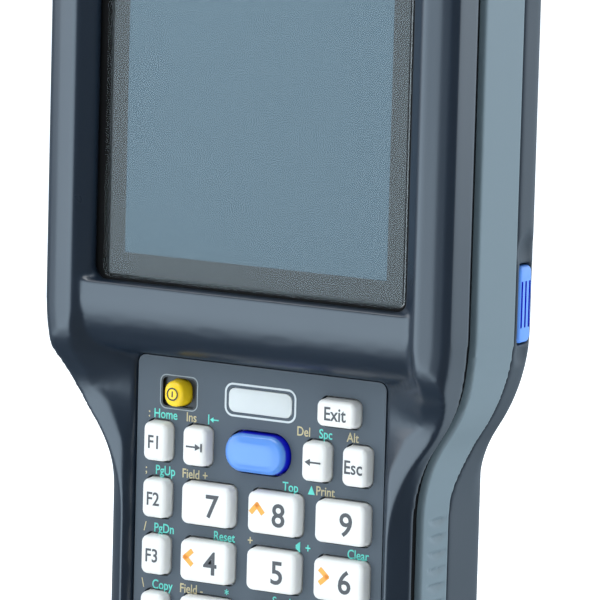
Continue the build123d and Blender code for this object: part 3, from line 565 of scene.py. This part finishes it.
makeStudio()
finish = {name: mouldedPlastic(name, spec) for name, spec in plastics.items()}
finish.update({name: brushedMetal(name, *spec) for name, spec in metals.items()})
capitalHeight = measureCapital()
lcdLow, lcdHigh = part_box("lcd_module")
print("studio and finishes ready")

# low and high are the active area's colours at its foot and head, the head lighter as a painted reflection
display = {
    "halfWidth": 26.82 * mm, "halfHeight": 35.76 * mm, "middle": (lcdLow.z + lcdHigh.z) / 2, "cell": 0.45,
    "low": "#3a5260", "high": "#3e5765", "border": "#131516",
}
finish["liquidCrystalPanel"] = displayPanel(display)
finish["touchGlass"] = clearPane("touchGlass", "#f2f4f2", 0.2, 1.22)
finish["scanGlass"] = clearPane("scanGlass", "#7a1218", 0.03, 1.5)
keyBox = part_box("scan_key")
# the scan key's face is painted paler as lit and its flanks deep blue as shade, on one blue plastic
finish["scanKeyBlue"] = litAndShadedKey("scanKeyBlue", {
    "axis": "Y", "from": keyBox[0].y + 0.9 * mm, "to": keyBox[0].y + 1.35 * mm, "coat": "#5086d2",
    "paintedFlankShade": "#0a12c8"})
finish["sideButtonBlue"] = mouldedPlastic("sideButtonBlue", {
    "dark": "#5590ea", "light": "#5c97f0", "roughness": 0.32, "cloud": 4, "grain": 0.3, "bump": 0.15,
    "coat": 0.3})
# deep blue for the side button's grooves: painted shade in the recesses of the blue button
finish["sideGroovePaintedShade"] = mouldedPlastic("sideGroovePaintedShade", {
    "dark": "#0a10c8", "light": "#0c14d4", "roughness": 0.35, "cloud": 4, "grain": 0.3, "bump": 0.15})

# shells

shells = {
    "frontCover": {"node": "front_cover", "finish": "slateShellPlastic", "slot": "front_shell",
                   "voxel": 0.45, "soften": 6, "keep": 0.5},
    "sideBand": {"node": "mid_frame", "finish": "bandPlastic", "slot": "side_band",
                 "voxel": 0.33, "soften": 2, "keep": 0.5},
    "rearCover": {"node": "rear_cover", "finish": "rearShellPlastic", "slot": "rear_shell",
                  "voxel": 0.5, "soften": 4, "keep": 0.5},
}
for name, spec in shells.items():
    piece = softShell(name, spec["node"], spec)
    dress(piece, finish[spec["finish"]], spec["slot"], "case", spec["node"])
    print(name, len(piece.data.polygons), "faces")

# small parts that keep their CAD form with broken edges

smallParts = {
    "caseSeal": ("case_seal", "blackRubber", "seal_rubber", "case", 0.3),
    "displayGasket": ("display_gasket", "blackRubber", "seal_rubber", "case", 0.15),
    "windowSeal": ("window_seal", "blackRubber", "seal_rubber", "case", 0.3),
    "caseScrews": ("case_screws", "blackenedSteel", "screw_steel", "case", 0.12),
    "strapBar": ("strap_bar", "blackenedSteel", "screw_steel", "case", 0.15),
    "speaker": ("speaker", "engineHousing", "engine_body", "case", 0.15),
    "dockConnector": ("dock_connector", "blackPlastic", "connector_body", "case", 0.15),
    "dockContacts": ("dock_contacts", "goldContact", "contact_plating", "case", 0.1),
    "batteryContacts": ("battery_contacts", "goldContact", "contact_plating", "case", 0.1),
    "batteryPack": ("battery_case", "batteryPlastic", "battery_shell", "battery", 0.5),
    "batteryLatch": ("battery_latch", "latchPlastic", "latch_plastic", "latch", 0.15),
    "scanEngine": ("scan_engine", "engineHousing", "engine_body", "case", 0.3),
    "scanWindow": ("scan_window", "scanGlass", "scan_glass", "case", 0.15),
    "statusLens": ("status_lens", "frostedLens", "lens_plastic", "case", 0.12),
}
for name, (node, look, slot, body, width) in smallParts.items():
    dress(crispCopy(name, node, width), finish[look], slot, body, node)
print("small parts done")

# nodes whose CAD form is the finished form
kept = {
    "display_glass": "touchGlass", "lcd_module": "liquidCrystalPanel", "keypad_panel": "keypadGrey",
    "inner_chassis": "castAluminium", "main_board": "solderMask", "shield_can": "tinnedSteel",
    "backup_battery": "tinnedSteel", "antenna_board": "solderMask", "microphone": "engineHousing",
    "keypad_mat": "siliconeMat", "keypad_board": "solderMask", "battery_cells": "cellPouch",
    "side_switches": "engineHousing",
}
for node, look in kept.items():
    nodes[node].data.materials.clear()
    nodes[node].data.materials.append(finish[look])
# light reaches the panel straight through the pane
glassPane = nodes["display_glass"]
glassPane.visible_shadow = False
glassPane.visible_diffuse = False
glassPane.visible_glossy = False

# keys

near = 0.1 * mm    # a point this close to a face counts as lying on it
beyond = 2.0 * mm  # how far a cutter reaches past what it cuts
keyForm = {"draft": 0.25 * mm, "flange": 0.7 * mm, "flangeThick": 0.8 * mm, "overlap": 0.05 * mm,
           "edge": 0.75 * mm, "crown": 0.12 * mm, "corner": 1.3 * mm,
           "crownSteps": ((0.86, 0.5), (0.8, 0.32), (0.65, 0.18))}


def keyCap(name, node, look, corner=None, edge=None, crown=None):
    # drafted cap with rolled edges and a slightly crowned face, on its retaining flange
    corner = keyForm["corner"] if corner is None else corner
    edge = keyForm["edge"] if edge is None else edge
    crown = keyForm["crown"] if crown is None else crown
    low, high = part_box(node)
    x, z = (low.x + high.x) / 2, (low.z + high.z) / 2
    trim = 2 * keyForm["flange"]
    width, height = high.x - low.x - trim, high.z - low.z - trim
    back = high.y - keyForm["flangeThick"] + keyForm["overlap"]
    front = low.y + crown
    cap = roundedPrism(name, (x, z), width, height, front, back, corner, 8)
    middle = (x, front, z)
    bpy.ops.object.mode_set(mode="EDIT")
    pick("VERT", lambda v: v.co.y < front + near)
    shrink = 2 * keyForm["draft"]
    bpy.ops.transform.resize(value=((width - shrink) / width, 1, (height - shrink) / height),
                             center_override=middle)
    pick("EDGE", lambda e: all(v.co.y < front + near for v in e.verts))
    bpy.ops.mesh.bevel(offset=edge, segments=6, profile=0.5, affect="EDGES", clamp_overlap=True)
    pick("FACE", lambda f: f.normal.y < -0.9 and len(f.verts) > 8)
    for shrinkBy, lift in keyForm["crownSteps"]:
        bpy.ops.mesh.extrude_region_move(TRANSFORM_OT_translate={"value": (0, -crown * lift, 0)})
        bpy.ops.transform.resize(value=(shrinkBy, 1, shrinkBy), center_override=middle)
    bpy.ops.object.mode_set(mode="OBJECT")
    flange = block("flange", (low.x, high.y - keyForm["flangeThick"], low.z), high)
    cap = joined([cap, flange])
    alone(cap)
    bpy.ops.object.shade_smooth_by_angle(angle=radians(40.0))
    cap.data.materials.clear()
    cap.data.materials.append(finish[look])
    return cap, Vector((x, low.y, z))


digit = {"capital": 3.95 * mm, "shift": 1.5 * mm, "squeeze": 0.98, "fatten": 0.014}
word = {"capital": 2.3 * mm, "squeeze": 0.86, "fatten": 0.014}
chevron = {"shift": -2.9 * mm, "rise": 0.6 * mm, "reach": 0.85 * mm, "spread": 1.1 * mm, "line": 0.92 * mm}

keyLegends = {
    "exit_key": "Exit", "f1_key": "F1", "f2_key": "F2", "f3_key": "F3", "f4_key": "F4", "f5_key": "F5",
    "escape_key": "Esc", "seven_key": "7", "eight_key": "8", "nine_key": "9", "four_key": "4",
    "five_key": "5", "six_key": "6", "one_key": "1", "two_key": "2", "three_key": "3", "zero_key": "0",
    "minus_key": "-", "point_key": ".", "shift_key": "Shift", "enter_key": "Enter",
    "tab_key": "", "backspace_key": "", "power_key": "", "scan_key": "", "amber_key": "", "aqua_key": "",
}
chevronWays = {"eight_key": (0, 1), "four_key": (-1, 0), "six_key": (1, 0), "two_key": (0, -1)}
keyLooks = {"power_key": "yellowKeyPlastic", "scan_key": "scanKeyBlue", "amber_key": "amberKeyPlastic",
            "aqua_key": "aquaKeyPlastic"}
keySlots = {"power_key": "power_yellow", "scan_key": "scan_blue", "amber_key": "amber_plastic",
            "aqua_key": "aqua_plastic"}


arrowForm = {"line": 0.32 * mm, "head": 1.1 * mm, "spread": 0.62 * mm, "barGap": 0.15 * mm,
             "barHalf": 0.75 * mm, "barLine": 0.3 * mm}


def arrow(x, z, face, reach, way, bar):
    # arrow with a filled head, and a stop bar at its tip if asked for
    ink = finish["greyInk"]
    tip = x + way * reach
    root = tip - way * arrowForm["head"]
    spread = arrowForm["spread"]
    made = [stroke((x - way * reach, z), (root, z), arrowForm["line"], face, ink)]
    made.append(wedge([(tip, z), (root, z + spread), (root, z - spread)], face, ink))
    if bar:
        stop, half = tip + way * arrowForm["barGap"], arrowForm["barHalf"]
        made.append(stroke((stop, z - half), (stop, z + half), arrowForm["barLine"], face, ink))
    return made


def ringAndBar(x, z, face, radius, line, ink):
    # power sign: a ring with a short upright bar inside it
    bpy.ops.object.select_all(action="DESELECT")
    bpy.ops.mesh.primitive_torus_add(location=(x, face, z), rotation=(pi / 2, 0, 0), major_radius=radius,
                                     minor_radius=line / 2, major_segments=32, minor_segments=8)
    ring = bpy.context.object
    bpy.ops.object.transform_apply(location=True, rotation=True, scale=True)
    flatten = Matrix.Diagonal((1, 0.2, 1, 1))
    ring.data.transform(Matrix.Translation((0, face, 0)) @ flatten @ Matrix.Translation((0, -face, 0)))
    ring.data.materials.append(ink)
    return [ring, stroke((x, z - radius * 0.5), (x, z + radius * 0.5), line, face, ink)]


keyShapes = {
    "scan_key": {"corner": 3.4 * mm, "edge": 0.9 * mm, "crown": 0.3 * mm},
    "power_key": {"corner": 2.0 * mm, "edge": 0.7 * mm, "crown": 0.2 * mm},
}
keySigns = {"tabReach": 1.5 * mm, "backReach": 1.6 * mm, "powerRadius": 1.05 * mm, "powerLine": 0.26 * mm}

for node, legend in keyLegends.items():
    look = keyLooks.get(node, "whiteKeyPlastic")
    cap, face = keyCap(node.replace("_key", "Key"), node, look, **keyShapes.get(node, {}))
    level = face.y - lettering["proud"]
    prints = []
    ink = finish["greyInk"]
    if legend.isdigit():
        prints.append(letters(legend, digit["capital"], face.x + digit["shift"], face.z, level, ink,
                              digit["squeeze"], digit["fatten"]))
    elif legend:
        tall = digit["capital"] if legend in "-." else word["capital"]
        prints.append(letters(legend, tall, face.x, face.z, level, ink, word["squeeze"], word["fatten"]))
    if node in chevronWays:
        wx, wz = chevronWays[node]
        x, z = face.x + chevron["shift"], face.z + chevron["rise"]
        reach, spread = chevron["reach"], chevron["spread"]
        tip = (x + wx * reach, z + wz * reach)
        ends = [(x - wx * reach * 0.5 + side * spread * abs(wz),
                 z - wz * reach * 0.5 + side * spread * abs(wx))
                for side in (-1, 1)]
        prints += strokes([ends[0], tip, ends[1]], chevron["line"], level, finish["amberInk"])
    if node == "tab_key":
        prints += arrow(face.x, face.z, level, keySigns["tabReach"], 1, True)
    if node == "backspace_key":
        prints += arrow(face.x, face.z, level, keySigns["backReach"], -1, False)
    if node == "power_key":
        prints += ringAndBar(face.x, face.z, level, keySigns["powerRadius"], keySigns["powerLine"],
                             finish["blackPlastic"])
    if prints:
        cap = joined([cap] + prints)
    dress(cap, None, keySlots.get(node, "key_white"), node + "_cap", node)
print("keys done")

# panel print, power well and status frame

panelPrint = {"capital": 1.6 * mm, "squeeze": 0.84, "fatten": 0.01, "line": 0.22 * mm}
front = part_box("keypad_panel")[0].y
rows = {"status": 76.9, "first": 66.75, "second": 56.3, "third": 46.05, "fourth": 36.0, "fifth": 25.9}
# each word, where its middle is across the panel in millimetres, its row and its ink
panelWords = [
    (":", -23.0, "status", "tanInk"), ("Home", -19.6, "status", "aquaInk"),
    ("Ins", -14.2, "status", "tanInk"), ("Del", 9.0, "status", "tanInk"),
    ("Spc", 13.5, "status", "aquaInk"), ("Alt", 19.0, "status", "tanInk"),
    (";", -23.4, "first", "tanInk"), ("PgUp", -19.4, "first", "aquaInk"),
    ("Field +", -13.2, "first", "tanInk"), ("Top", 6.6, "first", "aquaInk"),
    ("Print", 13.7, "first", "tanInk"),
    ("/", -23.4, "second", "tanInk"), ("PgDn", -19.4, "second", "aquaInk"),
    ("Reset", -6.8, "second", "aquaInk"), ("+", -1.4, "second", "tanInk"),
    ("+", 10.5, "second", "aquaInk"), ("Clear", 20.7, "second", "aquaInk"),
    ("\\", -23.6, "third", "tanInk"), ("Copy", -19.5, "third", "aquaInk"),
    ("Field -", -13.4, "third", "tanInk"), ("*", -6.0, "third", "aquaInk"),
    ("Send", 5.4, "third", "aquaInk"), ("=", 13.8, "third", "tanInk"),
    ("Paste", -19.5, "fourth", "aquaInk"), ("Sort", -7.5, "fourth", "tanInk"),
    ("Find", 6.2, "fourth", "aquaInk"), ("List", 19.5, "fourth", "tanInk"),
    ("End", -19.5, "fifth", "aquaInk"),
]
# small signs between the words, filled or drawn as a line, their points in millimetres
panelSigns = [
    ("filled", [(10.2, 65.9), (11.6, 65.9), (10.9, 67.5)]),
    ("drawn", [(-10.6, 76.1), (-10.6, 77.7)]),
    ("drawn", [(-10.1, 76.9), (-8.6, 76.9)]),
    ("filled", [(-10.3, 76.9), (-9.6, 77.4), (-9.6, 76.4)]),
    ("filled", [(8.0, 56.6), (8.0, 56.0), (8.9, 55.3), (8.9, 57.3)]),
]
prints = [letters(text, panelPrint["capital"], x * mm, rows[row] * mm, front, finish[ink],
                  panelPrint["squeeze"], panelPrint["fatten"])
          for text, x, row, ink in panelWords]
for kind, points in panelSigns:
    points = [(x * mm, z * mm) for x, z in points]
    if kind == "filled":
        prints.append(wedge(points, front, finish["aquaInk"]))
    else:
        prints += strokes(points, panelPrint["line"], front, finish["aquaInk"])
lensLow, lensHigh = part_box("status_lens")
lensMiddle = ((lensLow.x + lensHigh.x) / 2, (lensLow.z + lensHigh.z) / 2)
panelFrames = {
    "status": {"width": 14.7 * mm, "height": 6.0 * mm, "corner": 1.7 * mm, "line": 0.35 * mm,
               "ink": "paleInk"},
    # round the power well the frame is a painted highlight on the well's lip
    "power": {"width": 7.9 * mm, "height": 6.2 * mm, "corner": 1.3 * mm, "line": 0.2 * mm,
              "ink": "wellLipHighlight"},
}
powerLow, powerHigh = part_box("power_key")
wellMiddle = ((powerLow.x + powerHigh.x) / 2, (powerLow.z + powerHigh.z) / 2)
for centre, frameSpec in zip((lensMiddle, wellMiddle), panelFrames.values()):
    prints.append(printedRing(centre, frameSpec["width"], frameSpec["height"], frameSpec["corner"],
                              frameSpec["line"], front, finish[frameSpec["ink"]]))
panelLegends = joined(prints)
panelLegends.name = "panelLegends"
dress(panelLegends, None, "keypad_grey", "case")

# floorShare is how deep the well's floor lies, as a share of its depth
well = {"width": 7.5 * mm, "height": 5.8 * mm, "depth": 0.88 * mm, "floorShare": 0.8, "wall": 0.3 * mm,
        "corner": 1.15 * mm, "setback": 0.02 * mm, "cutAhead": 1.0 * mm,
        "holeWidth": 4.75 * mm, "holeHeight": 5.05 * mm, "holeCorner": 2.0 * mm}
# the well is lined with black plastic: painted shade in the hole round the power key
shadeLiner = roundedPrism("powerWellShade", wellMiddle, well["width"], well["height"], front + well["setback"],
                     front + well["depth"], well["corner"], 8)
bpy.ops.object.mode_set(mode="EDIT")
pick("FACE", lambda f: f.normal.y < -0.9)
bpy.ops.mesh.inset(thickness=well["wall"], depth=0.0)
sink = well["depth"] * well["floorShare"]
bpy.ops.mesh.extrude_region_move(TRANSFORM_OT_translate={"value": (0, sink, 0)})
bpy.ops.object.mode_set(mode="OBJECT")
cutter = roundedPrism("cutter", wellMiddle, well["holeWidth"], well["holeHeight"], front - well["cutAhead"],
                      front + beyond, well["holeCorner"], 8)
applied(shadeLiner, "BOOLEAN", operation="DIFFERENCE", object=cutter, solver="EXACT")
bpy.data.objects.remove(cutter)
alone(shadeLiner)
bpy.ops.object.shade_smooth_by_angle(angle=radians(35.0))
dress(shadeLiner, finish["blackPlastic"], "keypad_grey", "case")
print("panel done")

# side buttons

sideButton = {"corner": 1.2 * mm, "edge": 0.7 * mm, "groove": 0.55 * mm, "pitch": 1.3 * mm, "run": 8.2 * mm,
              "depth": 0.6 * mm, "thick": 3.1 * mm, "stemHalf": 0.75 * mm, "overlap": 0.2 * mm}


def makeSideButton():
    # rounded bar with three lengthwise grooves in its outer face, on a stem that reaches its switch
    low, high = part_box("side_button_right")
    inner = high.x - sideButton["thick"]
    y, z = (low.y + high.y) / 2, (low.z + high.z) / 2
    piece = block("sideButtonRight", (inner, low.y, low.z), high)
    bpy.ops.object.mode_set(mode="EDIT")
    pick("EDGE", lambda e: abs(e.verts[0].co.x - e.verts[1].co.x) > sideButton["thick"] / 2)
    bpy.ops.mesh.bevel(offset=sideButton["corner"], segments=6, affect="EDGES")
    pick("EDGE", lambda e: all(v.co.x > high.x - near for v in e.verts))
    bpy.ops.mesh.bevel(offset=sideButton["edge"], segments=5, affect="EDGES")
    bpy.ops.object.mode_set(mode="OBJECT")
    for row in (-1, 0, 1):
        centre = y + row * sideButton["pitch"]
        half = sideButton["groove"] / 2
        cutter = block("cutter", (high.x - sideButton["depth"], centre - half, z - sideButton["run"] / 2),
                       (high.x + beyond, centre + half, z + sideButton["run"] / 2))
        # the grooves take a deep blue that paints shade into them
        cutter.data.materials.append(finish["sideGroovePaintedShade"])
        applied(piece, "BOOLEAN", operation="DIFFERENCE", object=cutter, solver="EXACT",
                material_mode="TRANSFER")
        bpy.data.objects.remove(cutter)
    half = sideButton["stemHalf"]
    stem = block("stem", (low.x, y - half, z - half), (inner + sideButton["overlap"], y + half, z + half))
    piece = joined([piece, stem])
    alone(piece)
    bpy.ops.object.shade_smooth_by_angle(angle=radians(40.0))
    return piece


rightButton = makeSideButton()
leftButton = bpy.data.objects.new("sideButtonLeft", rightButton.data.copy())
bpy.context.scene.collection.objects.link(leftButton)
leftButton.data.transform(Matrix.Diagonal((-1, 1, 1, 1)))
leftButton.data.flip_normals()
for piece, side in ((rightButton, "right"), (leftButton, "left")):
    piece.data.materials[0] = finish["sideButtonBlue"]  # the grooves' deep blue, painted shade, is in the second place
    dress(piece, None, "scan_blue", side + "_side_button", "side_button_" + side)
print("side buttons done")
